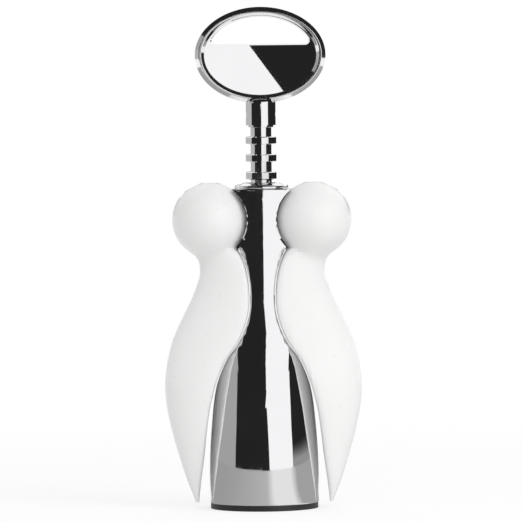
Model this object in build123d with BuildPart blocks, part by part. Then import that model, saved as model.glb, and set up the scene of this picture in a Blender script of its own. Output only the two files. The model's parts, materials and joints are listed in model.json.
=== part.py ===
from build123d import *
import os
from math import cos, pi, sin, sqrt

# Corkscrew with two lever wings, in millimetres.
# +Z is up, the front faces -Y, and the origin is at the middle of the base.

# Gearing: the rack's rings mesh with the toothed sectors inside the levers' balls
MODULE = 2.0
GEAR_TEETH_FULL = 14
RING_PITCH = pi * MODULE
SECTOR_TEETH = 6
TOOTH_TIP_RADIUS = 13.5
TOOTH_ROOT_RADIUS = 12.0
TOOTH_TIP_WIDTH = 1.4
TOOTH_ROOT_WIDTH = 3.2
SECTOR_WEB_RADIUS = 12.4
SECTOR_HALF_THICKNESS = 1.1

# Pivots of the levers
PIVOT_X = 18.5
PIVOT_Z = 103.0
PIN_RADIUS = 2.0
PIN_HALF_LENGTH = 9.5
PIN_CLEARANCE = 0.05
PIN_CHAMFER = 0.3
EAR_INNER_Y = 1.25
EAR_OUTER_Y = 2.2
EAR_RADIUS = 4.5
EAR_ROOT_TOP = (6.0, 95.4)
EAR_ROOT_BOTTOM = (7.4, 91.8)

# Body: sections every few millimetres, from outlines given as (height, size)
BODY_BOTTOM = 2.0
FOOT_BEVEL_TOP = 2.4
BODY_CUSP = 93.1
BODY_TOP = 113.8
LEVEL_STEP = 3.5
LEVELS_BELOW_CUSP = 26
HEAD_HALF_WIDTH = 12.0
HEAD_ELLIPSE = (15.0, 9.0)
BODY_WIDTH = [
    (BODY_BOTTOM, 19.0),
    (FOOT_BEVEL_TOP, 19.4),
    (10.0, 19.5),
    (20.0, 19.25),
    (30.0, 18.55),
    (38.0, 17.75),
    (44.3, 16.6),
    (48.6, 15.1),
    (52.8, 13.2),
    (55.5, 11.4),
    (58.0, 9.4),
    (62.0, 7.2),
    (66.5, 5.55),
    (70.5, 4.5),
    (74.5, 4.2),
    (80.0, 4.45),
    (85.0, 5.3),
    (89.0, 6.6),
    (BODY_CUSP, 8.5),
]
ELLIPSE_WIDTH = [
    (BODY_BOTTOM, 19.25),
    (FOOT_BEVEL_TOP, 19.65),
    (10.0, 19.75),
    (20.0, 19.5),
    (30.0, 18.8),
    (38.0, 18.05),
    (48.6, 16.6),
    (58.0, 15.4),
    (66.5, HEAD_ELLIPSE[0]),
    (BODY_CUSP, HEAD_ELLIPSE[0]),
]
ELLIPSE_DEPTH = [
    (BODY_BOTTOM, 19.25),
    (FOOT_BEVEL_TOP, 19.65),
    (10.0, 19.75),
    (20.0, 19.5),
    (30.0, 18.8),
    (38.0, 17.7),
    (48.6, 14.8),
    (58.0, 11.5),
    (66.5, 9.8),
    (75.0, 9.1),
    (82.0, HEAD_ELLIPSE[1]),
    (BODY_CUSP, HEAD_ELLIPSE[1]),
]
BODY_CORNER = [(BODY_BOTTOM, 2.0), (44.3, 2.0), (62.0, 0.7), (BODY_CUSP, 0.7)]
BALL_SEAT_RADIUS = 14.05
SEAT_LIP_RADIUS = 13.5
SEAT_LIP_Y = 4.0
SEAT_LIP_BOTTOM = 96.5
RACK_BORE = 5.6

# Bell cavity, bottle collar and worm guide
COLLAR_FLANGE_RADIUS = 19.2
COLLAR_RADIUS = 16.9
COLLAR_BORE = 15.2
COLLAR_TOP = 20.0
COLLAR_MOUTH = 0.8
CAVITY_POINTS = [(15.2, 24.0), (14.6, 38.0), (11.0, 46.0)]
GUIDE_SEAT_RADIUS = 8.3
WORM_GUIDE_BORE = 4.8
WORM_GUIDE_BOTTOM = 50.0
WORM_GUIDE_TOP = 56.0

# Head: guide bush, and a top cap with a low cone round the rack
GUIDE_BUSH_RADIUS = 6.6
GUIDE_BUSH_BOTTOM = 111.6
GUIDE_BORE = 5.52
TOP_CAP_ELLIPSE = (9.6, 8.7)
TOP_CAP_TOP = 115.4
TOP_CAP_ROUNDING = 0.7
TOP_CONE_BOTTOM_RADIUS = 8.0
TOP_CONE_TOP_RADIUS = 6.3
TOP_CONE_HEIGHT = 0.7

# Rack
RING_RADIUS = 5.45
RING_WIDTH = 2.7
RING_COUNT = 7
RING_CHAMFER = 0.25
FIRST_RING_Z = PIVOT_Z - 1.5 * RING_PITCH
RACK_CORE_RADIUS = 3.7
RACK_BOTTOM = 88.0
RACK_TOP = 135.9
RACK_INNER_RADIUS = 2.55

# Spindle, worm and handle
SPINDLE_RADIUS = 2.5
SPINDLE_BOTTOM = 70.0
SPINDLE_TOP = 144.0
END_GAP = 0.1
RETAINING_RING_RADIUS = 4.6
RETAINING_RING_HEIGHT = 1.9
WORM_HUB_RADIUS = 4.4
WORM_HUB_BOTTOM = 66.0
WORM_HUB_TOP = 76.0
WORM_WIRE_RADIUS = 1.3
WORM_COIL_RADIUS = 3.1
WORM_PITCH = 9.5
WORM_QUARTERS = 18
WORM_TOP = 67.5
WORM_TIP_LENGTH = 5.0
WORM_TIP_RADIUS = 0.2
NECK_RADIUS = 5.3
NECK_STEP_RADIUS = 4.4
NECK_STEP_TOP = 136.7
NECK_TOP = 146.6
NECK_ROUNDING = 2.2
HANDLE_PIN_RADIUS = 1.0
HANDLE_PIN_Z = 140.5
HANDLE_PIN_HALF_LENGTH = 5.1
HANDLE_Z = 161.7
RIM_OUTER = (23.3, 17.15)
RIM_INNER = (20.0, 14.2)
RIM_HALF_DEPTH = 2.4
RIM_OUTER_SLOPE = (1.4, 1.15)
RIM_INNER_SLOPE = (1.05, 1.3)
RIM_RIDGE_ROUNDING = 0.3
PLATE_HALF_DEPTH = 1.1
OPENING_ELLIPSE = (18.9, 13.6)
OPENING_BOTTOM = 165.7
OPENING_CORNER = 1.2
OPENING_BEVEL_WIDTH = 0.5
OPENING_BEVEL_DEPTH = 1.05

# Lever wings: outlines given as (height, size), the inner edge follows the body
BALL_RADIUS = 13.7
SHELL_WALL = 2.0
WING_CORNER = 0.8
WING_CORNER_SHARE = 0.3
LEVER_GAP = 0.45
WING_LEAVES_BODY = 44.0
WING_MEETS_BALL = 90.0
WING_INNER = [(2.0, 23.4), (10.0, 22.5), (18.6, 21.3), (27.1, 20.4), (35.7, 19.2), (40.0, 18.15)]
WING_INNER += [(z, half + LEVER_GAP) for z, half in BODY_WIDTH if WING_LEAVES_BODY < z < WING_MEETS_BALL]
WING_INNER += [(92.6, 8.95), (95.0, 11.0)]
WING_OUTER = [
    (2.0, 24.4),
    (5.0, 25.6),
    (10.0, 27.6),
    (18.6, 30.3),
    (27.1, 32.7),
    (35.7, 34.5),
    (43.0, 35.2),
    (52.8, 34.2),
    (61.4, 31.8),
    (70.0, 27.7),
    (78.5, 23.8),
    (85.0, 22.1),
    (88.0, 22.2),
    (90.7, 23.6),
    (92.6, 25.2),
    (95.0, 26.5),
]
WING_DEPTH = [
    (2.0, 1.1),
    (5.0, 2.9),
    (10.0, 5.2),
    (18.6, 8.0),
    (27.1, 9.8),
    (35.7, 10.8),
    (44.3, 11.2),
    (57.8, 10.6),
    (73.5, 9.6),
    (88.0, 8.7),
    (90.7, 8.5),
    (92.6, 7.9),
    (95.0, 5.8),
]
WING_TOP_LEVELS = [91.4, 93.1, 95.0]
HOLLOW_LOWEST = 15.0
SLOT_HALF_WIDTH = 2.45
SLOT_LOWER_ANGLE = 235.0
SLOT_UPPER_ANGLE = 37.0
SLOT_REACH = 17.0
PIVOT_BOSS_RADIUS = 4.4
PIVOT_BOSS_Y = 2.45

# Lever screws, placed in front view
SCREW_PLACES = [(13.5, 80.0), (22.5, 52.0)]
SCREW_RADIUS = 1.2
SCREW_HEAD_RADIUS = 2.2
SCREW_HEAD_FACE = 5.5
SCREW_HEAD_HEIGHT = 1.6
SCREW_TIP_Y = -6.0
SCREW_HOLE_TIP_Y = -6.3
SCREW_DRIVE_DEPTH = 0.7
SCREW_DRIVE_WIDTH = 0.6
SCREW_DRIVE_LENGTH = 3.6
SCREW_BOSS_RADIUS = 3.0
TANG_RADIUS = 3.6
HUB_RADIUS = 4.0

# Cuts that pass right through, and the margin of those that only have to clear
THROUGH = 60.0
CUT_MARGIN = 1.0

LEVELS = [BODY_BOTTOM + LEVEL_STEP * step for step in range(LEVELS_BELOW_CUSP)]
FRONT_VIEW = Plane.XZ
PIVOT_PLANE = Plane(origin=(PIVOT_X, 0, PIVOT_Z), x_dir=(1, 0, 0), z_dir=(0, -1, 0))
LEFT_PIVOT_PLANE = Plane(origin=(-PIVOT_X, 0, PIVOT_Z), x_dir=(1, 0, 0), z_dir=(0, -1, 0))
HANDLE_PIN_PLANE = Plane(origin=(0, 0, HANDLE_PIN_Z), x_dir=(0, 1, 0), z_dir=(1, 0, 0))

os.makedirs("parts", exist_ok=True)


def save(builder, name):
    builder.part.label = name
    export_step(builder.part, f"parts/{name}.step")


def smooth(points, z):
    """Size at a height, on a smooth curve through the points that never overshoots them."""
    steps = [(b[0] - a[0], (b[1] - a[1]) / (b[0] - a[0])) for a, b in zip(points, points[1:])]
    slopes = [steps[0][1]]
    for (before, rise), (after, fall) in zip(steps, steps[1:]):
        level = rise * fall <= 0
        near, far = 2 * after + before, after + 2 * before
        slopes.append(0 if level else (near + far) / (near / rise + far / fall))
    slopes.append(steps[-1][1])
    index = max(i for i in range(len(steps)) if points[i][0] <= z or i == 0)
    length = steps[index][0]
    t = (z - points[index][0]) / length
    start, end = points[index][1], points[index + 1][1]
    bend = (1 - t) * slopes[index] * length - t * slopes[index + 1] * length
    chord = end - start
    return start + chord * t + t * (1 - t) * ((1 - 2 * t) * -chord + bend)


def mirrored(part, about):
    """The same piece on the other side."""
    with BuildPart() as other:
        mirror(part, about=about)
    return other


# Body


def body_section(z):
    """Convex front and back with flat sides and rounded corners."""
    depth = smooth(ELLIPSE_DEPTH, z)
    with BuildSketch(Plane.XY.offset(z)) as section:
        Ellipse(smooth(ELLIPSE_WIDTH, z), depth)
        Rectangle(2 * smooth(BODY_WIDTH, z), 3 * depth, mode=Mode.INTERSECT)
        fillet(section.vertices(), smooth(BODY_CORNER, z))
    return section.sketch


def pivot_ears():
    """Two thin plates each side that carry the pivot pins."""
    tangent = Vector(EAR_ROOT_BOTTOM[0] - EAR_ROOT_TOP[0], EAR_ROOT_BOTTOM[1] - EAR_ROOT_TOP[1])
    reach = tangent.normalized() * EAR_RADIUS
    with BuildPart() as ears:
        with BuildSketch(FRONT_VIEW):
            with Locations((PIVOT_X, PIVOT_Z)):
                Circle(EAR_RADIUS)
            Polygon(
                EAR_ROOT_TOP,
                EAR_ROOT_BOTTOM,
                (PIVOT_X + reach.X, PIVOT_Z + reach.Y),
                (PIVOT_X - reach.X, PIVOT_Z - reach.Y),
                align=None,
            )
        extrude(amount=EAR_OUTER_Y, both=True)
        with Locations((PIVOT_X, 0, PIVOT_Z)):
            Box(THROUGH, 2 * EAR_INNER_Y, THROUGH, mode=Mode.SUBTRACT)
        mirror(about=Plane.YZ)
    return ears.part


with BuildPart() as seat_lips:
    with BuildSketch(Plane.XY.offset(SEAT_LIP_BOTTOM)):
        Ellipse(*HEAD_ELLIPSE)
        Rectangle(2 * HEAD_HALF_WIDTH, 2 * SEAT_LIP_Y, mode=Mode.SUBTRACT)
        Rectangle(2 * HEAD_HALF_WIDTH, 3 * HEAD_ELLIPSE[1], mode=Mode.INTERSECT)
    extrude(amount=BODY_TOP - SEAT_LIP_BOTTOM)
    with BuildSketch(FRONT_VIEW):
        with Locations((PIVOT_X, PIVOT_Z), (-PIVOT_X, PIVOT_Z)):
            Circle(SEAT_LIP_RADIUS)
    extrude(amount=THROUGH, both=True, mode=Mode.SUBTRACT)

with BuildPart() as body_frame:
    loft([body_section(z) for z in [BODY_BOTTOM, FOOT_BEVEL_TOP]], ruled=True)
    loft([body_section(z) for z in [FOOT_BEVEL_TOP, *LEVELS[1:], BODY_CUSP]], ruled=True)
    with BuildSketch(Plane.XY.offset(BODY_CUSP)):
        Ellipse(*HEAD_ELLIPSE)
        Rectangle(2 * HEAD_HALF_WIDTH, 3 * HEAD_ELLIPSE[1], mode=Mode.INTERSECT)
    extrude(amount=BODY_TOP - BODY_CUSP)
    with BuildSketch(FRONT_VIEW):
        with Locations((PIVOT_X, PIVOT_Z), (-PIVOT_X, PIVOT_Z)):
            Circle(BALL_SEAT_RADIUS)
    extrude(amount=THROUGH, both=True, mode=Mode.SUBTRACT)
    add(seat_lips.part)
    add(pivot_ears())
    with BuildSketch(FRONT_VIEW):
        with BuildLine():
            Polyline(
                (0, 0),
                (COLLAR_RADIUS, 0),
                (COLLAR_RADIUS, COLLAR_TOP),
                *CAVITY_POINTS,
                (GUIDE_SEAT_RADIUS, WORM_GUIDE_BOTTOM),
                (GUIDE_SEAT_RADIUS, WORM_GUIDE_TOP),
                (RACK_BORE, WORM_GUIDE_TOP),
                (RACK_BORE, GUIDE_BUSH_BOTTOM),
                (GUIDE_BUSH_RADIUS, GUIDE_BUSH_BOTTOM),
                (GUIDE_BUSH_RADIUS, BODY_TOP + CUT_MARGIN),
                (0, BODY_TOP + CUT_MARGIN),
                close=True,
            )
        make_face()
    revolve(axis=Axis.Z, mode=Mode.SUBTRACT)
    with Locations(PIVOT_PLANE, LEFT_PIVOT_PLANE):
        Cylinder(PIN_RADIUS, 4 * EAR_OUTER_Y, mode=Mode.SUBTRACT)
save(body_frame, "body_frame")

with BuildPart() as bottle_collar:
    with BuildSketch(FRONT_VIEW):
        with BuildLine():
            Polyline(
                (COLLAR_BORE + COLLAR_MOUTH, 0),
                (COLLAR_FLANGE_RADIUS, 0),
                (COLLAR_FLANGE_RADIUS, BODY_BOTTOM),
                (COLLAR_RADIUS, BODY_BOTTOM),
                (COLLAR_RADIUS, COLLAR_TOP),
                (COLLAR_BORE, COLLAR_TOP),
                (COLLAR_BORE, COLLAR_MOUTH),
                close=True,
            )
        make_face()
    revolve(axis=Axis.Z)
save(bottle_collar, "bottle_collar")


def bush(radius, bore, bottom, top):
    """Plain round bush on the main axis."""
    with BuildPart() as ring:
        with BuildSketch(Plane.XY.offset(bottom)):
            Circle(radius)
            Circle(bore, mode=Mode.SUBTRACT)
        extrude(amount=top - bottom)
    return ring


worm_guide = bush(GUIDE_SEAT_RADIUS, WORM_GUIDE_BORE, WORM_GUIDE_BOTTOM, WORM_GUIDE_TOP)
save(worm_guide, "worm_guide")

guide_bush = bush(GUIDE_BUSH_RADIUS, GUIDE_BORE, GUIDE_BUSH_BOTTOM, BODY_TOP)
save(guide_bush, "guide_bush")

with BuildPart() as top_cap:
    with BuildSketch(Plane.XY.offset(BODY_TOP)):
        Ellipse(*TOP_CAP_ELLIPSE)
    extrude(amount=TOP_CAP_TOP - BODY_TOP)
    fillet(top_cap.edges(), TOP_CAP_ROUNDING)
    with Locations((0, 0, TOP_CAP_TOP)):
        Cone(
            TOP_CONE_BOTTOM_RADIUS,
            TOP_CONE_TOP_RADIUS,
            TOP_CONE_HEIGHT,
            align=(Align.CENTER, Align.CENTER, Align.MIN),
        )
        Cylinder(GUIDE_BORE, THROUGH, mode=Mode.SUBTRACT)
save(top_cap, "top_cap")

with BuildPart() as right_pivot_pin:
    with Locations(PIVOT_PLANE):
        Cylinder(PIN_RADIUS, 2 * PIN_HALF_LENGTH)
    chamfer(right_pivot_pin.edges().filter_by(GeomType.CIRCLE), PIN_CHAMFER)
save(right_pivot_pin, "right_pivot_pin")
save(mirrored(right_pivot_pin.part, Plane.YZ), "left_pivot_pin")

# Rack

with BuildPart() as rack_sleeve:
    with BuildSketch(Plane.XY.offset(RACK_BOTTOM)):
        Circle(RACK_CORE_RADIUS)
    extrude(amount=RACK_TOP - RACK_BOTTOM)
    for ring in range(RING_COUNT):
        with Locations((0, 0, FIRST_RING_Z + ring * RING_PITCH)):
            Cylinder(RING_RADIUS, RING_WIDTH)
    circles = rack_sleeve.edges().filter_by(GeomType.CIRCLE)
    chamfer(circles.group_by(SortBy.RADIUS)[-1], RING_CHAMFER)
    with Locations((0, 0, (RACK_BOTTOM + RACK_TOP) / 2)):
        Cylinder(RACK_INNER_RADIUS, 2 * (RACK_TOP - RACK_BOTTOM), mode=Mode.SUBTRACT)
save(rack_sleeve, "rack_sleeve")

# Spindle, worm and handle

with BuildPart() as handle_rim:
    with BuildSketch(FRONT_VIEW):
        with Locations((0, HANDLE_Z)):
            Ellipse(*RIM_OUTER)
            Ellipse(*RIM_INNER, mode=Mode.SUBTRACT)
    extrude(amount=RIM_HALF_DEPTH, both=True)
    for side in (0, -1):
        face = handle_rim.faces().filter_by(Axis.Y).sort_by(Axis.Y)[side]
        chamfer(face.outer_wire().edges(), *RIM_OUTER_SLOPE, reference=face)
        face = handle_rim.faces().filter_by(Axis.Y).sort_by(Axis.Y)[side]
        chamfer(face.inner_wires()[0].edges(), *RIM_INNER_SLOPE, reference=face)
        face = handle_rim.faces().filter_by(Axis.Y).sort_by(Axis.Y)[side]
        fillet(face.edges(), RIM_RIDGE_ROUNDING)
save(handle_rim, "handle_rim")

with BuildPart() as handle_plate:
    with BuildSketch(FRONT_VIEW):
        with Locations((0, HANDLE_Z)):
            Ellipse(*RIM_INNER)
    extrude(amount=PLATE_HALF_DEPTH, both=True)
    with BuildSketch(FRONT_VIEW) as opening:
        with Locations((0, HANDLE_Z)):
            Ellipse(*OPENING_ELLIPSE)
        with Locations((0, OPENING_BOTTOM)):
            Rectangle(THROUGH, THROUGH, align=(Align.CENTER, Align.MIN), mode=Mode.INTERSECT)
        fillet(opening.vertices(), OPENING_CORNER)
    extrude(amount=2 * PLATE_HALF_DEPTH, both=True, mode=Mode.SUBTRACT)
    for side in (0, -1):
        face = handle_plate.faces().filter_by(Axis.Y).sort_by(Axis.Y)[side]
        lip = face.inner_wires()[0].edges()
        chamfer(lip, OPENING_BEVEL_WIDTH, OPENING_BEVEL_DEPTH, reference=face)
save(handle_plate, "handle_plate")

with BuildPart() as spindle_shaft:
    with BuildSketch(Plane.XY.offset(SPINDLE_BOTTOM)):
        Circle(SPINDLE_RADIUS)
    extrude(amount=SPINDLE_TOP - SPINDLE_BOTTOM)
    with Locations(HANDLE_PIN_PLANE):
        Cylinder(HANDLE_PIN_RADIUS, 4 * SPINDLE_RADIUS, mode=Mode.SUBTRACT)
save(spindle_shaft, "spindle_shaft")

with BuildPart() as neck_collar:
    with BuildSketch(Plane.XY.offset(RACK_TOP + END_GAP)):
        Circle(NECK_STEP_RADIUS)
    extrude(amount=NECK_STEP_TOP - RACK_TOP - END_GAP)
    with BuildSketch(Plane.XY.offset(NECK_STEP_TOP)):
        Circle(NECK_RADIUS)
    extrude(amount=NECK_TOP - NECK_STEP_TOP)
    fillet(neck_collar.edges().group_by(Axis.Z)[-1], NECK_ROUNDING)
    add(handle_rim.part, mode=Mode.SUBTRACT)
    add(handle_plate.part, mode=Mode.SUBTRACT)
    with BuildSketch(Plane.XY.offset(SPINDLE_TOP)):
        Circle(SPINDLE_RADIUS)
    extrude(amount=-THROUGH, mode=Mode.SUBTRACT)
    with Locations(HANDLE_PIN_PLANE):
        Cylinder(HANDLE_PIN_RADIUS, 4 * NECK_RADIUS, mode=Mode.SUBTRACT)
save(neck_collar, "neck_collar")

with BuildPart() as handle_pin:
    with Locations(HANDLE_PIN_PLANE):
        Cylinder(HANDLE_PIN_RADIUS, 2 * HANDLE_PIN_HALF_LENGTH)
save(handle_pin, "handle_pin")

retaining_top = RACK_BOTTOM - END_GAP
retaining_ring = bush(
    RETAINING_RING_RADIUS, SPINDLE_RADIUS, retaining_top - RETAINING_RING_HEIGHT, retaining_top
)
save(retaining_ring, "retaining_ring")


def coil_point(quarter):
    """Point on the worm's centre line, counted down from its top in quarter turns."""
    angle = quarter * pi / 2
    return Vector(
        WORM_COIL_RADIUS * cos(angle),
        -WORM_COIL_RADIUS * sin(angle),
        WORM_TOP - quarter * WORM_PITCH / 4,
    )


def coil_tangent(quarter):
    """Direction of the worm's centre line at that point."""
    angle = quarter * pi / 2
    drop = WORM_PITCH / (2 * pi)
    slope = Vector(-WORM_COIL_RADIUS * sin(angle), -WORM_COIL_RADIUS * cos(angle), -drop)
    return slope.normalized()


def quarter_joint(quarter):
    """Where the two arcs of a quarter turn meet, and their shared direction there."""
    span = coil_point(quarter + 1) - coil_point(quarter)
    sides = coil_tangent(quarter) + coil_tangent(quarter + 1)
    along = span.dot(sides)
    rest = 4 - sides.dot(sides)
    reach = (sqrt(along**2 + rest * span.dot(span)) - along) / rest
    first = coil_point(quarter) + coil_tangent(quarter) * reach
    second = coil_point(quarter + 1) - coil_tangent(quarter + 1) * reach
    return (first + second) * 0.5, second - first


with BuildPart() as worm:
    with BuildLine() as coil:
        for quarter in range(WORM_QUARTERS):
            joint, direction = quarter_joint(quarter)
            TangentArc(coil_point(quarter), joint, tangent=coil_tangent(quarter))
            TangentArc(joint, coil_point(quarter + 1), tangent=direction)
    with BuildSketch(Plane(origin=coil_point(0), z_dir=coil_tangent(0))):
        Circle(WORM_WIRE_RADIUS)
    sweep(path=coil.wires()[0])
    tip_plane = Plane(origin=coil_point(WORM_QUARTERS), z_dir=coil_tangent(WORM_QUARTERS))
    with Locations(tip_plane):
        Cone(
            WORM_WIRE_RADIUS,
            WORM_TIP_RADIUS,
            WORM_TIP_LENGTH,
            align=(Align.CENTER, Align.CENTER, Align.MIN),
        )
    with BuildSketch(Plane.XY.offset(WORM_HUB_BOTTOM)):
        Circle(WORM_HUB_RADIUS)
    extrude(amount=WORM_HUB_TOP - WORM_HUB_BOTTOM)
    with BuildSketch(Plane.XY.offset(SPINDLE_BOTTOM)):
        Circle(SPINDLE_RADIUS)
    extrude(amount=WORM_HUB_TOP - SPINDLE_BOTTOM, mode=Mode.SUBTRACT)
save(worm, "worm")

# Levers, made for the right side and mirrored to the left


def wing_section(z, inset):
    """Half ellipse with its flat side towards the body."""
    inner = smooth(WING_INNER, z) + inset
    outer = smooth(WING_OUTER, z) - inset
    depth = smooth(WING_DEPTH, z) - inset
    with BuildSketch(Plane.XY.offset(z)) as section:
        with BuildLine():
            curve = EllipticalCenterArc((inner, 0), outer - inner, depth, -90, arc_size=180)
            Line(curve @ 1, curve @ 0)
        make_face()
        fillet(section.vertices(), min(WING_CORNER, WING_CORNER_SHARE * depth))
    return section.sketch


def ball_and_wing(inset):
    """Ball and wing as one form, drawn in by a wall's thickness for the hollow."""
    lowest = HOLLOW_LOWEST if inset else 0
    levels = [z for z in [*LEVELS, *WING_TOP_LEVELS] if z > lowest]
    with BuildPart() as form:
        loft([wing_section(z, inset) for z in levels], ruled=True)
        with Locations((PIVOT_X, 0, PIVOT_Z)):
            Sphere(BALL_RADIUS - inset)
    return form.part


outer_form = ball_and_wing(0)
hollow_form = ball_and_wing(SHELL_WALL)

with BuildPart() as bosses:
    with BuildSketch(FRONT_VIEW):
        with Locations(*SCREW_PLACES):
            Circle(SCREW_BOSS_RADIUS)
    extrude(amount=BALL_RADIUS, both=True)
    with BuildSketch(PIVOT_PLANE):
        Circle(PIVOT_BOSS_RADIUS)
    extrude(amount=BALL_RADIUS, both=True)
    add(outer_form, mode=Mode.INTERSECT)

with BuildPart() as lever_form:
    add(outer_form)
    add(hollow_form, mode=Mode.SUBTRACT)
    add(bosses.part)
    with BuildSketch(PIVOT_PLANE):
        with BuildLine():
            slot_span = SLOT_LOWER_ANGLE - SLOT_UPPER_ANGLE
            slot_arc = CenterArc((0, 0), SLOT_REACH, SLOT_UPPER_ANGLE, slot_span)
            Line(slot_arc @ 1, (0, 0))
            Line((0, 0), slot_arc @ 0)
        make_face()
    extrude(amount=SLOT_HALF_WIDTH, both=True, mode=Mode.SUBTRACT)
    with BuildSketch(PIVOT_PLANE):
        Circle(PIVOT_BOSS_RADIUS + CUT_MARGIN)
    extrude(amount=PIVOT_BOSS_Y, both=True, mode=Mode.SUBTRACT)
    with BuildSketch(FRONT_VIEW):
        with Locations(*SCREW_PLACES):
            Circle(SCREW_BOSS_RADIUS + CUT_MARGIN)
    extrude(amount=SECTOR_HALF_THICKNESS, both=True, mode=Mode.SUBTRACT)
    with Locations(PIVOT_PLANE):
        Cylinder(PIN_RADIUS + PIN_CLEARANCE, 2 * PIN_HALF_LENGTH + CUT_MARGIN, mode=Mode.SUBTRACT)
    with BuildSketch(FRONT_VIEW.offset(-SCREW_HEAD_FACE)):
        with Locations(*SCREW_PLACES):
            Circle(SCREW_RADIUS)
    extrude(amount=SCREW_HEAD_FACE - SCREW_HOLE_TIP_Y, mode=Mode.SUBTRACT)
    with BuildSketch(FRONT_VIEW.offset(-SCREW_HEAD_FACE)):
        with Locations(*SCREW_PLACES):
            Circle(SCREW_HEAD_RADIUS)
    extrude(amount=-BALL_RADIUS, mode=Mode.SUBTRACT)

for half, keep in (("front", Keep.TOP), ("back", Keep.BOTTOM)):
    with BuildPart() as shell:
        add(lever_form.part)
        split(bisect_by=FRONT_VIEW, keep=keep)
    save(shell, f"right_{half}_shell")
    save(mirrored(shell.part, Plane.YZ), f"left_{half}_shell")

tooth_step = 360 / GEAR_TEETH_FULL
teeth_span = tooth_step * (SECTOR_TEETH - 1)
first_tooth = 180 - teeth_span
upper_screw, lower_screw = [(x - PIVOT_X, z - PIVOT_Z) for x, z in SCREW_PLACES]

with BuildPart() as right_gear_sector:
    with BuildSketch(PIVOT_PLANE):
        with BuildLine():
            web_start = first_tooth - tooth_step / 2
            web = CenterArc((0, 0), SECTOR_WEB_RADIUS, web_start, teeth_span + tooth_step)
            Line(web @ 1, (0, 0))
            Line((0, 0), web @ 0)
        make_face()
        Circle(HUB_RADIUS)
        with PolarLocations(0, SECTOR_TEETH, first_tooth, teeth_span, endpoint=True):
            Polygon(
                (TOOTH_ROOT_RADIUS, -TOOTH_ROOT_WIDTH / 2),
                (TOOTH_TIP_RADIUS, -TOOTH_TIP_WIDTH / 2),
                (TOOTH_TIP_RADIUS, TOOTH_TIP_WIDTH / 2),
                (TOOTH_ROOT_RADIUS, TOOTH_ROOT_WIDTH / 2),
                align=None,
            )
    extrude(amount=SECTOR_HALF_THICKNESS, both=True)
    with BuildSketch(PIVOT_PLANE):
        Circle(HUB_RADIUS)
        with Locations(upper_screw):
            Circle(TANG_RADIUS)
        make_hull()
    extrude(amount=SECTOR_HALF_THICKNESS, both=True)
    with BuildSketch(PIVOT_PLANE):
        with Locations(upper_screw, lower_screw):
            Circle(TANG_RADIUS)
        make_hull()
    extrude(amount=SECTOR_HALF_THICKNESS, both=True)
    with BuildSketch(PIVOT_PLANE):
        Circle(PIN_RADIUS + PIN_CLEARANCE)
        with Locations(upper_screw, lower_screw):
            Circle(SCREW_RADIUS)
    extrude(amount=2 * SECTOR_HALF_THICKNESS, both=True, mode=Mode.SUBTRACT)
save(right_gear_sector, "right_gear_sector")
save(mirrored(right_gear_sector.part, Plane.YZ), "left_gear_sector")

with BuildPart() as right_lever_screws:
    with BuildSketch(FRONT_VIEW.offset(-SCREW_HEAD_FACE)):
        with Locations(*SCREW_PLACES):
            Circle(SCREW_RADIUS)
    extrude(amount=SCREW_HEAD_FACE - SCREW_TIP_Y)
    with BuildSketch(FRONT_VIEW.offset(-SCREW_HEAD_FACE)):
        with Locations(*SCREW_PLACES):
            Circle(SCREW_HEAD_RADIUS)
    extrude(amount=-SCREW_HEAD_HEIGHT)
    with BuildSketch(FRONT_VIEW.offset(-SCREW_HEAD_FACE - SCREW_HEAD_HEIGHT)):
        with Locations(*SCREW_PLACES):
            Rectangle(SCREW_DRIVE_LENGTH, SCREW_DRIVE_WIDTH)
            Rectangle(SCREW_DRIVE_WIDTH, SCREW_DRIVE_LENGTH)
    extrude(amount=SCREW_DRIVE_DEPTH, mode=Mode.SUBTRACT)
save(right_lever_screws, "right_lever_screws")
save(mirrored(right_lever_screws.part, Plane.YZ), "left_lever_screws")
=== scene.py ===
import json
from math import cos, hypot, radians, sin

import bmesh
import bpy
from mathutils import Matrix, Vector
from mathutils.bvhtree import BVHTree

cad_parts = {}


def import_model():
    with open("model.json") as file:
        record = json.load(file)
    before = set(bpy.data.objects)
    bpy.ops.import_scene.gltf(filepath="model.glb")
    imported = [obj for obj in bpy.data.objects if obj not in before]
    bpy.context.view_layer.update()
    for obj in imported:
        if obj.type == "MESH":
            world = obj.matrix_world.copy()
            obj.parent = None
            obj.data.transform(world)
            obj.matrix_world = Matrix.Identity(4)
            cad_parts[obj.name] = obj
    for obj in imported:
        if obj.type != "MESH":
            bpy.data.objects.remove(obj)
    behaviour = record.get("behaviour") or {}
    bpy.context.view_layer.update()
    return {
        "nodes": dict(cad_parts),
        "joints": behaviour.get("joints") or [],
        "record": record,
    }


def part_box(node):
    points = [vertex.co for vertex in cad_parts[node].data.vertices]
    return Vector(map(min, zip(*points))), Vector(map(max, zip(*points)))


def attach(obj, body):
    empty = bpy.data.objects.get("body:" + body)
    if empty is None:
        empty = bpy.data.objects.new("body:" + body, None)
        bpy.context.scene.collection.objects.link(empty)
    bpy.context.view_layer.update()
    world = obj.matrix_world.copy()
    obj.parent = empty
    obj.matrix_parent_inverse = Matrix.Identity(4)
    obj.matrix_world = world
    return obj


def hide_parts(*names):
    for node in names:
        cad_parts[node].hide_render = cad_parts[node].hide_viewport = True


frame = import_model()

# Corkscrew with two lever wings: finishes, lever mouldings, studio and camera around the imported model.
# Lengths are in metres.

MM = 0.001
FULL_TURN = 360
nodes = frame["nodes"]

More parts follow.
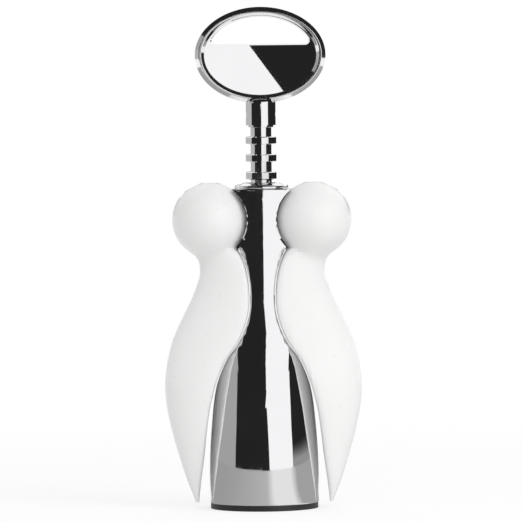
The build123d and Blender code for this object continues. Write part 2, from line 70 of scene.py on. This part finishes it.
# Camera: a long lens, a little above the top of the handle. The picture is PHOTO_SIZE pixels wide and high.
# The object stands on its row BASE_LINE_Y, with the axis in its column AXIS_X.
PHOTO_SIZE = 522
PIXEL = 0.357 * MM
BASE_LINE_Y = 508
AXIS_X = 262.2
CAMERA_DISTANCE = 2.3
CAMERA_HEIGHT = 187 * MM
CAMERA_X = (PHOTO_SIZE / 2 - AXIS_X) * PIXEL
CAMERA_CLIP_END = 20
SENSOR_WIDTH = 36
ROLL = radians(-0.58)

# Reflected studio, in bands by azimuth from the object: degrees, 0 to the camera and positive to the right.
# Each is (start, end at its lower circle, end at its upper circle, brightness).
BLACK = 0.017
WHITE = 1.0
LEFT_BAND = (-118, -62, -62, 0.38)
RIGHT_BAND = (62, 119, 119, BLACK)
LOW_BANDS = [LEFT_BAND, (-62, 2, 2, BLACK)]
LOW_WHITE_BAND = (2, 62, 62, WHITE)
SHELF_BANDS = [LEFT_BAND, (-62, 1.5, 6.5, BLACK), RIGHT_BAND, (119, 180, 180, WHITE)]
SHELF_TOP_WIDTH = 72
SHELF_TOP_BANDS = [
    (start, start + SHELF_TOP_WIDTH, start + SHELF_TOP_WIDTH, WHITE)
    for start in range(-180, 180, SHELF_TOP_WIDTH)
]
MIDDLE_BANDS = [
    (-180, -166, -166, 0.1),
    (-166, -76, -76, 0.5),
    (-76, 4, 4, BLACK),
    (57, 175, 175, BLACK),
]
HIGH_BANDS = [LEFT_BAND, (-62, 6, 6, BLACK), RIGHT_BAND]
BAND_STEPS = 24

# The right band near the floor: it fades from grey to black between two heights
RIGHT_FADE = (0.012, 0.050)
RIGHT_FADE_STEPS = 20
RIGHT_GREY = 0.3

# Circles that the bands run between, as (radius, height); the shelf hides the middle ones from the bell
FOOT_CIRCLE = (0.6, -0.02)
LOW_WHITE_FOOT = (0.6, 0.0)
SHELF_OUTER = (0.6, 0.096)
SHELF_INNER = (0.15, 0.110)
SHELF_TOP_INNER = (0.151, 0.110)
SHELF_THICKNESS = 0.0001
MIDDLE_TOP = (0.6, 0.25)
HIGH_TOP = (0.6, 0.75)

# Small card close to the bell, which widens the black there and not on the strap
NEAR_BAND = (-4, 10.5, 6.3, BLACK)
NEAR_FOOT = (0.12, 0.0118)
NEAR_TOP = (0.12, 0.066)

# Dark dome overhead, in degrees of elevation and azimuth; it comes down lower in front than behind
DOME_RADIUS = 0.62
DOME_FRONT_LOWEST = 44
DOME_BACK_LOWEST = 66
DOME_FRONT_HALF = 110
DOME_ELEVATION_STEPS = 23
DOME_AZIMUTH_STEP = 5

# White card that the handle's mirror plate shows, drawn as the plate shows it, in millimetres
PLATE_CARD_DISTANCE = 0.55
PLATE_CARD = [(-20.4, 178), (-13.2, 178), (12.3, 143), (-20.4, 143)]

# Floor: (azimuth, brightness) of the painted reflection that polished metal shows of it, a glow in bands
# that only reflections see, and how it fades into the backdrop
FLOOR_REFLECTION_BANDS = [
    (-90, 0.35),
    (-60, 0.37),
    (5, 0.48),
    (18, 0.82),
    (55, 0.82),
    (70, 0.38),
    (130, 0.38),
    (145, 0.9),
    (230, 0.9),
    (242, 0.35),
]
FLOOR_REFLECTION_FRONT = 0.25    # place of azimuth 0 on the ramp, as a share of the full turn
FLOOR_SIZE = 8
FLOOR_DROP = 0.05 * MM
FLOOR_ROUGHNESS = 0.9
FLOOR_PAINT = 0.3
FLOOR_GLOW = 0.72
FLOOR_BOUNCE = 0.56
FLOOR_FADE = (0.12, 0.5)

# Light on the object: the backdrop's strength for it, and the point that the lamps face
WORLD_LIGHT = 0.7
LAMP_TARGET = Vector((0, 0, 0.09))

# Share of a noise texture's range that holds most of its values
NOISE_LOW = 0.3
NOISE_HIGH = 0.7

# Shading of the body: how near points are joined, and which edges stay sharp, in degrees
BODY_WELD = 0.003 * MM
BODY_SHARP_ANGLE = 28

# Lever mouldings: the ball and the wing, from the right lever's hinge and its packed front shell
PIVOT = Vector(next(j["pos_m"] for j in frame["joints"] if j["name"] == "right_lever_swing"))
SHELL_LOWEST, SHELL_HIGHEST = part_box("right_front_shell")
BALL_RADIUS = SHELL_HIGHEST.z - PIVOT.z
WING_FOOT = SHELL_LOWEST.z + 0.05 * MM
WING_TOP = 93 * MM
WING_MEASURED_TO = 88 * MM
FAR = 60 * MM

# Cuts in the mouldings
SLOT_ANGLES = (37, 235)
SLOT_REACH = 17 * MM
SLOT_HALF_WIDTH = 2.45 * MM
PIVOT_ROOM_RADIUS = 5.4 * MM
PIN_HOLE_RADIUS = 2.05 * MM
PIN_HOLE_HALF_LENGTH = 10 * MM
SCREW_PLACES = [(13.5 * MM, 80 * MM), (22.5 * MM, 52 * MM)]
SCREW_RECESS_RADIUS = 2.2 * MM
SCREW_RECESS_FLOOR = 5.5 * MM
PARTING_GAP = 0.02 * MM
ARC_STEPS = 48

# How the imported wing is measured: beside its parting plane or its slot, with the depth taken part of the
# way across, and averaged over heights a step apart. Above WING_MEASURED_TO the depth falls in a curve.
BESIDE_PARTING = 0.3 * MM
BESIDE_SLOT = SLOT_HALF_WIDTH + 0.7 * MM
DEPTH_TAKEN_AT = 0.3
DEPTH_CURVE = 60
AVERAGE_STEP = 0.7 * MM
AVERAGE_STEPS_EACH_WAY = 2

# How the ball and the wing blend, little on the inner side and more on the outer one
INNER_BLEND = 1.6 * MM
OUTER_BLEND = 5.0 * MM
BLEND_FROM = 12 * MM
BLEND_TO = 22 * MM

# The wing's round edges take at most a share of its depth. LEAST_ELLIPSE keeps off a division by zero.
EDGE_ROUNDING = 1.6 * MM
EDGE_SHARE_OF_DEPTH = 0.6
LEAST_ELLIPSE = 0.001

# Sections of the mouldings' skin: how many on the wing, angles on the ball in degrees, points round each,
# and how often the search for a point halves its range
WING_SECTIONS = 60
BALL_FIRST_ANGLE = -38
BALL_ANGLE_STEP = 4
SECTION_POINTS = 96
HALVINGS = 22
MOULDING_SHARP_ANGLE = 32


# Helpers


def add_object(name, data):
    """A new object in the scene."""
    obj = bpy.data.objects.new(name, data)
    bpy.context.scene.collection.objects.link(obj)
    return obj


def mesh_from(name, shape):
    """A mesh of an edited shape, which is freed."""
    mesh = bpy.data.meshes.new(name)
    shape.to_mesh(mesh)
    shape.free()
    return mesh


def evenly(start, end, steps):
    """Values from start to end, both included."""
    return [start + (end - start) * step / steps for step in range(steps + 1)]


def share_of_way(value, start, end):
    """How far a value is on the way from start to end, from 0 to 1."""
    return max(0, min(1, (value - start) / (end - start)))


def around(azimuth, radius, z):
    """A point at an azimuth from the object, in degrees."""
    return (radius * sin(radians(azimuth)), -radius * cos(radians(azimuth)), z)


# Materials


def node_material(name):
    """A new material and its node tree."""
    made = bpy.data.materials.new(name)
    made.use_nodes = True
    return made, made.node_tree


def material(name, colour, metallic, roughness):
    """A Principled material, its node tree and its shader, with the constants on the shader's sockets."""
    made, tree = node_material(name)
    shader = tree.nodes["Principled BSDF"]
    shader.inputs["Base Color"].default_value = (*colour, 1)
    shader.inputs["Metallic"].default_value = metallic
    shader.inputs["Roughness"].default_value = roughness
    return made, tree, shader


def noise(tree, scale, detail, stretch=(1, 1, 1)):
    """Noise in object space, with a scale in features per metre."""
    place = tree.nodes.new("ShaderNodeTexCoord")
    mapping = tree.nodes.new("ShaderNodeMapping")
    mapping.inputs["Scale"].default_value = stretch
    texture = tree.nodes.new("ShaderNodeTexNoise")
    texture.inputs["Scale"].default_value = scale
    texture.inputs["Detail"].default_value = detail
    tree.links.new(place.outputs["Object"], mapping.inputs["Vector"])
    tree.links.new(mapping.outputs["Vector"], texture.inputs["Vector"])
    return texture.outputs["Fac"]


def vary_roughness(tree, shader, value, low, high):
    """Lets the roughness run between two limits, by a noise value."""
    ranged = tree.nodes.new("ShaderNodeMapRange")
    ranged.inputs["From Min"].default_value = NOISE_LOW
    ranged.inputs["From Max"].default_value = NOISE_HIGH
    ranged.inputs["To Min"].default_value = low
    ranged.inputs["To Max"].default_value = high
    tree.links.new(value, ranged.inputs["Value"])
    tree.links.new(ranged.outputs["Result"], shader.inputs["Roughness"])


def vary_tone(tree, shader, value, low, high):
    """Lets the colour run between two, by a noise value."""
    mix = tree.nodes.new("ShaderNodeMix")
    mix.data_type = "RGBA"
    mix.inputs["A"].default_value = (*low, 1)
    mix.inputs["B"].default_value = (*high, 1)
    tree.links.new(value, mix.inputs["Factor"])
    tree.links.new(mix.outputs["Result"], shader.inputs["Base Color"])


def bump(tree, shader, value, strength, depth):
    """Gives the surface a fine relief, by a noise value."""
    relief = tree.nodes.new("ShaderNodeBump")
    relief.inputs["Strength"].default_value = strength
    relief.inputs["Distance"].default_value = depth
    tree.links.new(value, relief.inputs["Height"])
    tree.links.new(relief.outputs["Normal"], shader.inputs["Normal"])


def chrome_material(name, polish, smudge):
    """Polished plating with faint wiping marks: its least roughness, and how much the marks add."""
    made, tree, shader = material(name, colour=(0.9, 0.9, 0.91), metallic=1, roughness=0.05)
    marks = noise(tree, scale=260, detail=6, stretch=(1, 1, 0.15))
    vary_roughness(tree, shader, marks, low=polish, high=polish + smudge)
    clouds = noise(tree, scale=60, detail=3)
    vary_tone(tree, shader, clouds, low=(0.87, 0.87, 0.885), high=(0.93, 0.93, 0.94))
    return made


def white_material():
    """Satin gloss moulding: a faint orange peel under the gloss, slightly uneven tone."""
    made, tree, shader = material("white_shell", colour=(0.9, 0.9, 0.893), metallic=0, roughness=0.3)
    shader.inputs["Specular IOR Level"].default_value = 0.45
    shader.inputs["Coat Weight"].default_value = 0.15
    shader.inputs["Coat Roughness"].default_value = 0.12
    shader.inputs["Subsurface Weight"].default_value = 0.5
    shader.inputs["Subsurface Radius"].default_value = (1, 1, 1)
    shader.inputs["Subsurface Scale"].default_value = 3 * MM
    clouds = noise(tree, scale=45, detail=4)
    vary_tone(tree, shader, clouds, low=(0.88, 0.88, 0.872), high=(0.92, 0.92, 0.915))
    vary_roughness(tree, shader, noise(tree, scale=420, detail=4), low=0.27, high=0.36)
    bump(tree, shader, noise(tree, scale=900, detail=2), strength=0.06, depth=0.05 * MM)
    return made


def gear_material():
    """Plain white plastic of the gear sectors."""
    made, tree, shader = material("white_gear", colour=(0.82, 0.82, 0.80), metallic=0, roughness=0.45)
    clouds = noise(tree, scale=120, detail=4)
    vary_tone(tree, shader, clouds, low=(0.79, 0.79, 0.77), high=(0.85, 0.85, 0.83))
    bump(tree, shader, noise(tree, scale=1500, detail=3), strength=0.1, depth=0.03 * MM)
    return made


def black_material():
    """Black moulding with a fine spark grain."""
    black = (0.018, 0.018, 0.02)
    made, tree, shader = material("black_plastic", colour=black, metallic=0, roughness=0.42)
    clouds = noise(tree, scale=300, detail=4)
    vary_tone(tree, shader, clouds, low=(0.012, 0.012, 0.014), high=(0.026, 0.026, 0.028))
    vary_roughness(tree, shader, noise(tree, scale=700, detail=3), low=0.36, high=0.5)
    bump(tree, shader, noise(tree, scale=2600, detail=2), strength=0.2, depth=0.03 * MM)
    return made


def steel_material():
    """Turned steel, with fine marks round the axis."""
    made, tree, shader = material("steel", colour=(0.56, 0.56, 0.57), metallic=1, roughness=0.25)
    round_axis = (0.1, 0.1, 4)
    marks = noise(tree, scale=500, detail=4, stretch=round_axis)
    vary_roughness(tree, shader, marks, low=0.18, high=0.34)
    grooves = noise(tree, scale=900, detail=3, stretch=round_axis)
    bump(tree, shader, grooves, strength=0.08, depth=0.02 * MM)
    return made


finishes = {
    "chrome": chrome_material("chrome", polish=0.015, smudge=0.04),
    "mirror_plate": chrome_material("mirror_plate", polish=0.004, smudge=0.008),
    "white_shell": white_material(),
    "white_gear": gear_material(),
    "black_plastic": black_material(),
    "steel": steel_material(),
}

# The handle's ring is less polished than the other plated parts
own_finishes = {"handle_rim": chrome_material("chrome_rim", polish=0.08, smudge=0.03)}

for part in frame["record"]["subparts"]:
    obj = nodes[part["node"]]
    obj.data.materials.clear()
    obj.data.materials.append(own_finishes.get(part["node"], finishes[part["material_slot"]]))


# Smooth shading of the body


def smooth_shading(obj):
    """Joins the bands of a lofted part and shades all but its sharp edges smoothly."""
    obj.data.attributes.remove(obj.data.attributes["custom_normal"])
    for face in obj.data.polygons:
        face.use_smooth = True
    for edge in obj.data.edges:
        edge.use_edge_sharp = False
    weld = obj.modifiers.new("weld", "WELD")
    weld.merge_threshold = BODY_WELD
    split = obj.modifiers.new("split", "EDGE_SPLIT")
    split.split_angle = radians(BODY_SHARP_ANGLE)
    split.use_edge_sharp = False


smooth_shading(nodes["body_frame"])


# Lever mouldings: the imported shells' sizes, with the ball and the wing run into one smooth form

packed = nodes["right_front_shell"].data
packed_shell = BVHTree.FromPolygons(
    [vertex.co for vertex in packed.vertices],
    [face.vertices for face in packed.polygons],
)


def measured(z):
    """Inner edge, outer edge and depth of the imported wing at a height."""
    aside = BESIDE_PARTING if z < WING_MEASURED_TO else BESIDE_SLOT
    inner = packed_shell.ray_cast(Vector((0, -aside, z)), Vector((1, 0, 0)))[0].x
    if z > WING_MEASURED_TO:
        _, outer, depth = measured(WING_MEASURED_TO)
        return inner, outer, depth - DEPTH_CURVE * (z - WING_MEASURED_TO) ** 2
    outer = packed_shell.ray_cast(Vector((FAR, -aside, z)), Vector((-1, 0, 0)))[0].x
    part_way = inner + DEPTH_TAKEN_AT * (outer - inner)
    front = packed_shell.ray_cast(Vector((part_way, -FAR, z)), Vector((0, 1, 0)))[0].y
    return inner, outer, -front / (1 - DEPTH_TAKEN_AT**2) ** 0.5


def wing_sizes(z):
    """The wing's sizes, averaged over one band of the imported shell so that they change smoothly."""
    steps = range(-AVERAGE_STEPS_EACH_WAY, AVERAGE_STEPS_EACH_WAY + 1)
    heights = [max(WING_FOOT, min(WING_TOP, z + step * AVERAGE_STEP)) for step in steps]
    return [sum(sizes) / len(heights) for sizes in zip(*map(measured, heights))]


def smooth_min(a, b, reach):
    """The smaller of two values, rounded off where they are within reach of each other."""
    return min(a, b) - max(reach - abs(a - b), 0) ** 2 / (4 * reach)


def lever_form(point, sizes):
    """How far a point is outside the ball and wing: negative inside, zero on the surface."""
    inner, outer, depth = sizes
    across, along = point.x - inner, point.y
    ellipse = hypot(across / (outer - inner), along / depth)
    round_side = hypot(across, along) * (1 - 1 / max(ellipse, LEAST_ELLIPSE))
    wing = -smooth_min(-round_side, across, min(EDGE_ROUNDING, EDGE_SHARE_OF_DEPTH * depth))
    wing = -smooth_min(-wing, WING_TOP - point.z, EDGE_ROUNDING)
    ball = (point - PIVOT).length - BALL_RADIUS
    outwards = share_of_way(point.x, BLEND_FROM, BLEND_TO)
    return smooth_min(wing, ball, INNER_BLEND + (OUTER_BLEND - INNER_BLEND) * outwards)


def surface_point(centre, direction, sizes):
    """Where a level ray from inside leaves the form."""
    inside, outside = 0.0, FAR
    for _ in range(HALVINGS):
        middle = (inside + outside) / 2
        if lever_form(centre + direction * middle, sizes) < 0:
            inside = middle
        else:
            outside = middle
    return centre + direction * inside


def lever_levels():
    """Heights of the sections: even along the wing, and by even angles on the ball."""
    angles = range(BALL_FIRST_ANGLE, 90, BALL_ANGLE_STEP)
    ball = [PIVOT.z + BALL_RADIUS * sin(radians(angle)) for angle in angles]
    return evenly(WING_FOOT, ball[0], WING_SECTIONS)[:-1] + ball


def lever_mesh():
    """Closed skin of the right lever, ball and wing in one."""
    skin = bmesh.new()
    turns = [radians(FULL_TURN * step / SECTION_POINTS) for step in range(SECTION_POINTS)]
    rings = []
    for z in lever_levels():
        sizes = wing_sizes(min(z, WING_TOP))
        to_ball = share_of_way(z, WING_MEASURED_TO, WING_TOP)
        x = (sizes[0] + sizes[1]) / 2 * (1 - to_ball) + PIVOT.x * to_ball
        ring = []
        for turn in turns:
            place = surface_point(Vector((x, 0, z)), Vector((cos(turn), sin(turn), 0)), sizes)
            ring.append(skin.verts.new(place))
        rings.append(ring)
    for lower, upper in zip(rings, rings[1:]):
        for step in range(SECTION_POINTS):
            following = (step + 1) % SECTION_POINTS
            skin.faces.new((lower[step], lower[following], upper[following], upper[step]))
    skin.faces.new(rings[0][::-1])
    pole = skin.verts.new((PIVOT.x, 0, PIVOT.z + BALL_RADIUS))
    for step in range(SECTION_POINTS):
        skin.faces.new((rings[-1][step], rings[-1][(step + 1) % SECTION_POINTS], pole))
    return mesh_from("lever", skin)


def prism(outline, front, back):
    """A cutter with an outline in front view, between two depths."""
    block = bmesh.new()
    ends = [[block.verts.new((x, y, z)) for x, z in outline] for y in (front, back)]
    block.faces.new(ends[0])
    block.faces.new(ends[1][::-1])
    for step in range(len(outline)):
        following = (step + 1) % len(outline)
        block.faces.new((ends[0][following], ends[0][step], ends[1][step], ends[1][following]))
    bmesh.ops.recalc_face_normals(block, faces=block.faces)
    return add_object("cutter", mesh_from("cutter", block))


def arc(centre_x, centre_z, radius, start, end):
    """Points of an arc in front view, angles in degrees from the right, upwards."""
    angles = [radians(angle) for angle in evenly(start, end, ARC_STEPS)]
    return [(centre_x + radius * cos(a), centre_z + radius * sin(a)) for a in angles]


def circle(centre_x, centre_z, radius):
    """Points of a circle in front view, each once."""
    return arc(centre_x, centre_z, radius, 0, FULL_TURN)[:-1]


def lever_cutters(half):
    """Slot for the gear and the body's ears, room round the pin, parting plane and screw recesses."""
    slot = [(PIVOT.x, PIVOT.z)] + arc(PIVOT.x, PIVOT.z, SLOT_REACH, *SLOT_ANGLES)
    room = circle(PIVOT.x, PIVOT.z, PIVOT_ROOM_RADIUS)
    pin = circle(PIVOT.x, PIVOT.z, PIN_HOLE_RADIUS)
    above = 3 * FAR
    whole = [(-FAR, -FAR), (FAR, -FAR), (FAR, above), (-FAR, above)]
    cutters = [
        prism(slot, -SLOT_HALF_WIDTH, SLOT_HALF_WIDTH),
        prism(room, -SLOT_HALF_WIDTH, SLOT_HALF_WIDTH),
        prism(pin, -PIN_HOLE_HALF_LENGTH, PIN_HOLE_HALF_LENGTH),
    ]
    if half == "front":
        cutters.append(prism(whole, -PARTING_GAP, FAR))
    else:
        cutters.append(prism(whole, -FAR, PARTING_GAP))
        for x, z in SCREW_PLACES:
            cutters.append(prism(circle(x, z, SCREW_RECESS_RADIUS), SCREW_RECESS_FLOOR, FAR))
    return cutters


def cut(obj, cutters):
    """Takes the cutters out of a piece and deletes them."""
    for cutter in cutters:
        boolean = obj.modifiers.new("cut", "BOOLEAN")
        boolean.object = cutter
        boolean.solver = "EXACT"
    evaluated = obj.evaluated_get(bpy.context.evaluated_depsgraph_get())
    mesh = bpy.data.meshes.new_from_object(evaluated)
    obj.modifiers.clear()
    obj.data = mesh
    for cutter in cutters:
        bpy.data.objects.remove(cutter)


def finish_moulding(obj, side, half):
    """Shades a moulding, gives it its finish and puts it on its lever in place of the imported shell."""
    obj.data.shade_smooth()
    obj.data.set_sharp_from_angle(angle=radians(MOULDING_SHARP_ANGLE))
    obj.data.materials.clear()
    obj.data.materials.append(finishes["white_shell"])
    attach(obj, f"{side}_lever")
    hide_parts(f"{side}_{half}_shell")


def mouldings():
    """Front and back half of each lever, the left ones mirrored from the right."""
    lever = lever_mesh()
    for half in ("front", "back"):
        right = add_object(f"right_{half}_moulding", lever.copy())
        cut(right, lever_cutters(half))
        left = add_object(f"left_{half}_moulding", right.data.copy())
        left.data.transform(Matrix.Scale(-1, 4, (1, 0, 0)))
        left.data.flip_normals()
        finish_moulding(right, "right", half)
        finish_moulding(left, "left", half)


mouldings()


# Studio: sheets that only polished surfaces show


def glow_material(name, brightness):
    """A material that glows evenly."""
    made, tree = node_material(name)
    tree.nodes.remove(tree.nodes["Principled BSDF"])
    glow = tree.nodes.new("ShaderNodeEmission")
    glow.inputs["Color"].default_value = (brightness, brightness, brightness, 1)
    tree.links.new(glow.outputs["Emission"], tree.nodes["Material Output"].inputs["Surface"])
    return made


def reflected_only(obj):
    """Hides a studio piece from all but reflections."""
    obj.visible_camera = False
    obj.visible_diffuse = False
    obj.visible_shadow = False
    obj.visible_transmission = False


def stage_sheet(name, rows, brightness):
    """A studio sheet from rows of points, which glows evenly."""
    sheet = bmesh.new()
    grid = [[sheet.verts.new(point) for point in row] for row in rows]
    for first, second in zip(grid, grid[1:]):
        for step in range(len(first) - 1):
            sheet.faces.new((first[step], first[step + 1], second[step + 1], second[step]))
    card = add_object(name, mesh_from(name, sheet))
    card.data.materials.append(glow_material(name, brightness))
    reflected_only(card)


def raised(circle_at):
    """A circle on the upper side of the shelf."""
    radius, height = circle_at
    return radius, height + SHELF_THICKNESS


def band(name, start, lower_end, upper_end, lower, upper, brightness):
    """A sheet bent round the object between two circles, each a radius and a height."""
    rows = []
    for (radius, height), end in ((lower, lower_end), (upper, upper_end)):
        rows.append([around(azimuth, radius, height) for azimuth in evenly(start, end, BAND_STEPS)])
    stage_sheet(name, rows, brightness)


def bands():
    """All the bands, from the foot to the top."""
    zones = [
        ("low", LOW_BANDS, FOOT_CIRCLE, SHELF_OUTER),
        ("low_white", [LOW_WHITE_BAND], LOW_WHITE_FOOT, SHELF_OUTER),
        ("shelf", SHELF_BANDS, SHELF_OUTER, SHELF_INNER),
        ("shelf_top", SHELF_TOP_BANDS, raised(SHELF_OUTER), raised(SHELF_TOP_INNER)),
        ("middle", MIDDLE_BANDS, SHELF_OUTER, MIDDLE_TOP),
        ("high", HIGH_BANDS, MIDDLE_TOP, HIGH_TOP),
        ("near", [NEAR_BAND], NEAR_FOOT, NEAR_TOP),
    ]
    for zone, pieces, lower, upper in zones:
        for start, lower_end, upper_end, brightness in pieces:
            band(f"{zone}_{start}", start, lower_end, upper_end, lower, upper, brightness)


def right_band():
    """The black band on the right below the shelf, which fades to grey near the floor."""
    start, end = RIGHT_BAND[:2]
    radius, foot_height = FOOT_CIRCLE
    heights = [foot_height, *evenly(*RIGHT_FADE, RIGHT_FADE_STEPS), SHELF_OUTER[1]]
    for step, (foot, top) in enumerate(zip(heights, heights[1:])):
        share = max(0, 1 - step / RIGHT_FADE_STEPS) ** 2
        brightness = BLACK + (RIGHT_GREY - BLACK) * share
        band(f"right_{step}", start, end, end, (radius, foot), (radius, top), brightness)


def dome():
    """A dark dome overhead, which leaves the sides open."""
    columns = []
    for azimuth in range(-180, 181, DOME_AZIMUTH_STEP):
        lowest = DOME_FRONT_LOWEST if abs(azimuth) < DOME_FRONT_HALF else DOME_BACK_LOWEST
        elevations = [radians(elevation) for elevation in evenly(lowest, 90, DOME_ELEVATION_STEPS)]
        columns.append([around(azimuth, DOME_RADIUS * cos(e), DOME_RADIUS * sin(e)) for e in elevations])
    stage_sheet("dome", zip(*columns), BLACK)


def plate_card():
    """The white card, placed so that the camera sees it in the plate where it is drawn."""
    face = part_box("handle_plate")[0].y
    share = (PLATE_CARD_DISTANCE + face) / (CAMERA_DISTANCE + face)
    corners = []
    for x, z in PLATE_CARD:
        point = Vector((x * MM, face, z * MM))
        corners.append((
            point.x + (point.x - CAMERA_X) * share,
            -PLATE_CARD_DISTANCE,
            point.z + (point.z - CAMERA_HEIGHT) * share,
        ))
    stage_sheet("plate_card", [corners[:2], [corners[3], corners[2]]], WHITE)


bands()
right_band()
dome()
plate_card()


# Floor and backdrop


def any_of(tree, *values):
    """The largest of several values."""
    total = values[0]
    for value in values[1:]:
        largest = tree.nodes.new("ShaderNodeMath")
        largest.operation = "MAXIMUM"
        tree.links.new(total, largest.inputs[0])
        tree.links.new(value, largest.inputs[1])
        total = largest.outputs["Value"]
    return total


def mixed(tree, factor, first, second):
    """A number between two, each a constant or a socket."""
    mix = tree.nodes.new("ShaderNodeMix")
    tree.links.new(factor, mix.inputs["Factor"])
    for name, value in (("A", first), ("B", second)):
        if isinstance(value, (int, float)):
            mix.inputs[name].default_value = value
        else:
            tree.links.new(value, mix.inputs[name])
    return mix.outputs["Result"]


def floor_fade(tree, place):
    """How far the floor has faded into the backdrop: 0 near the object, 1 far away."""
    away = tree.nodes.new("ShaderNodeVectorMath")
    away.operation = "LENGTH"
    tree.links.new(place, away.inputs[0])
    fade = tree.nodes.new("ShaderNodeMapRange")
    fade.interpolation_type = "SMOOTHSTEP"
    fade.inputs["From Min"].default_value = FLOOR_FADE[0]
    fade.inputs["From Max"].default_value = FLOOR_FADE[1]
    tree.links.new(away.outputs["Value"], fade.inputs["Value"])
    return fade.outputs["Result"]


def floor_reflection_glow(tree, place):
    """Painted reflection: the floor's glow in bands by azimuth, which only polished metal shows."""
    round_about = tree.nodes.new("ShaderNodeTexGradient")
    round_about.gradient_type = "RADIAL"
    tree.links.new(place, round_about.inputs["Vector"])
    reflection_ramp = tree.nodes.new("ShaderNodeValToRGB")
    while len(reflection_ramp.color_ramp.elements) < len(FLOOR_REFLECTION_BANDS):
        reflection_ramp.color_ramp.elements.new(position=0.5)
    for stop, (azimuth, brightness) in zip(reflection_ramp.color_ramp.elements, FLOOR_REFLECTION_BANDS):
        stop.position = FLOOR_REFLECTION_FRONT + azimuth / FULL_TURN
        stop.color = (brightness, brightness, brightness, 1)
    tree.links.new(round_about.outputs["Fac"], reflection_ramp.inputs["Fac"])
    return reflection_ramp.outputs["Color"]


def floor():
    """White floor that keeps the object's shadow and fades into the backdrop; in reflections it glows with
    the painted reflection bands.
    """
    bpy.ops.mesh.primitive_plane_add(size=FLOOR_SIZE, location=(0, 0, -FLOOR_DROP))
    ground = bpy.context.object
    ground.name = "floor"
    made, tree = node_material("floor")
    paint = tree.nodes["Principled BSDF"]
    paint.inputs["Roughness"].default_value = FLOOR_ROUGHNESS
    paint.inputs["Specular IOR Level"].default_value = 0
    paint.inputs["Emission Color"].default_value = (1, 1, 1, 1)
    place = tree.nodes.new("ShaderNodeTexCoord").outputs["Object"]
    rays = tree.nodes.new("ShaderNodeLightPath").outputs
    fade = floor_fade(tree, place)
    seen = mixed(tree, fade, FLOOR_GLOW, WHITE)
    lit = mixed(tree, rays["Is Camera Ray"], FLOOR_BOUNCE, seen)
    # Painted reflection: glossy rays see the floor glow in bands by azimuth
    glow = mixed(tree, rays["Is Glossy Ray"], lit, floor_reflection_glow(tree, place))
    tree.links.new(glow, paint.inputs["Emission Strength"])
    unshaded = any_of(tree, fade, rays["Is Glossy Ray"])
    tree.links.new(mixed(tree, unshaded, FLOOR_PAINT, 0.0), paint.inputs["Base Color"])
    ground.data.materials.append(made)


def world():
    """White backdrop, also in reflections, with a softer light on the object."""
    scene_world = bpy.data.worlds.new("studio")
    bpy.context.scene.world = scene_world
    scene_world.use_nodes = True
    tree = scene_world.node_tree
    rays = tree.nodes.new("ShaderNodeLightPath").outputs
    seen = any_of(tree, rays["Is Camera Ray"], rays["Is Glossy Ray"], rays["Is Transmission Ray"])
    background = tree.nodes["Background"]
    background.inputs["Color"].default_value = (1, 1, 1, 1)
    tree.links.new(mixed(tree, seen, WORLD_LIGHT, WHITE), background.inputs["Strength"])


floor()
world()


# Lamps and camera


def softbox(name, azimuth, elevation, distance, size, power):
    """A square area lamp that faces the object and stays out of reflections; degrees, metres and watts."""
    lamp = bpy.data.lights.new(name, "AREA")
    lamp.size = size
    lamp.energy = power
    obj = add_object(name, lamp)
    back = Vector(around(azimuth, cos(radians(elevation)), sin(radians(elevation))))
    obj.location = LAMP_TARGET + back * distance
    obj.rotation_euler = (-back).to_track_quat("-Z", "Y").to_euler()
    obj.visible_glossy = False


def camera():
    """Long lens at the photograph's angle, with the object's axis leaning a little to the left."""
    lens = bpy.data.cameras.new("camera")
    obj = add_object("camera", lens)
    middle = PHOTO_SIZE / 2
    target = Vector((CAMERA_X, 0, (BASE_LINE_Y - middle) * PIXEL))
    place = Vector((CAMERA_X, -CAMERA_DISTANCE, CAMERA_HEIGHT))
    look = (target - place).to_track_quat("-Z", "Y").to_matrix().to_4x4()
    obj.matrix_world = Matrix.Translation(place) @ look @ Matrix.Rotation(ROLL, 4, "Z")
    lens.sensor_width = SENSOR_WIDTH
    lens.lens = lens.sensor_width * (target - place).length / (PHOTO_SIZE * PIXEL)
    lens.clip_end = CAMERA_CLIP_END
    bpy.context.scene.camera = obj


softbox("key", azimuth=48, elevation=32, distance=1.6, size=0.9, power=8)
softbox("fill", azimuth=-50, elevation=20, distance=1.8, size=1.0, power=1)
softbox("front", azimuth=4, elevation=12, distance=2.2, size=1.2, power=4.5)
camera()
bpy.context.scene.view_settings.view_transform = "Standard"
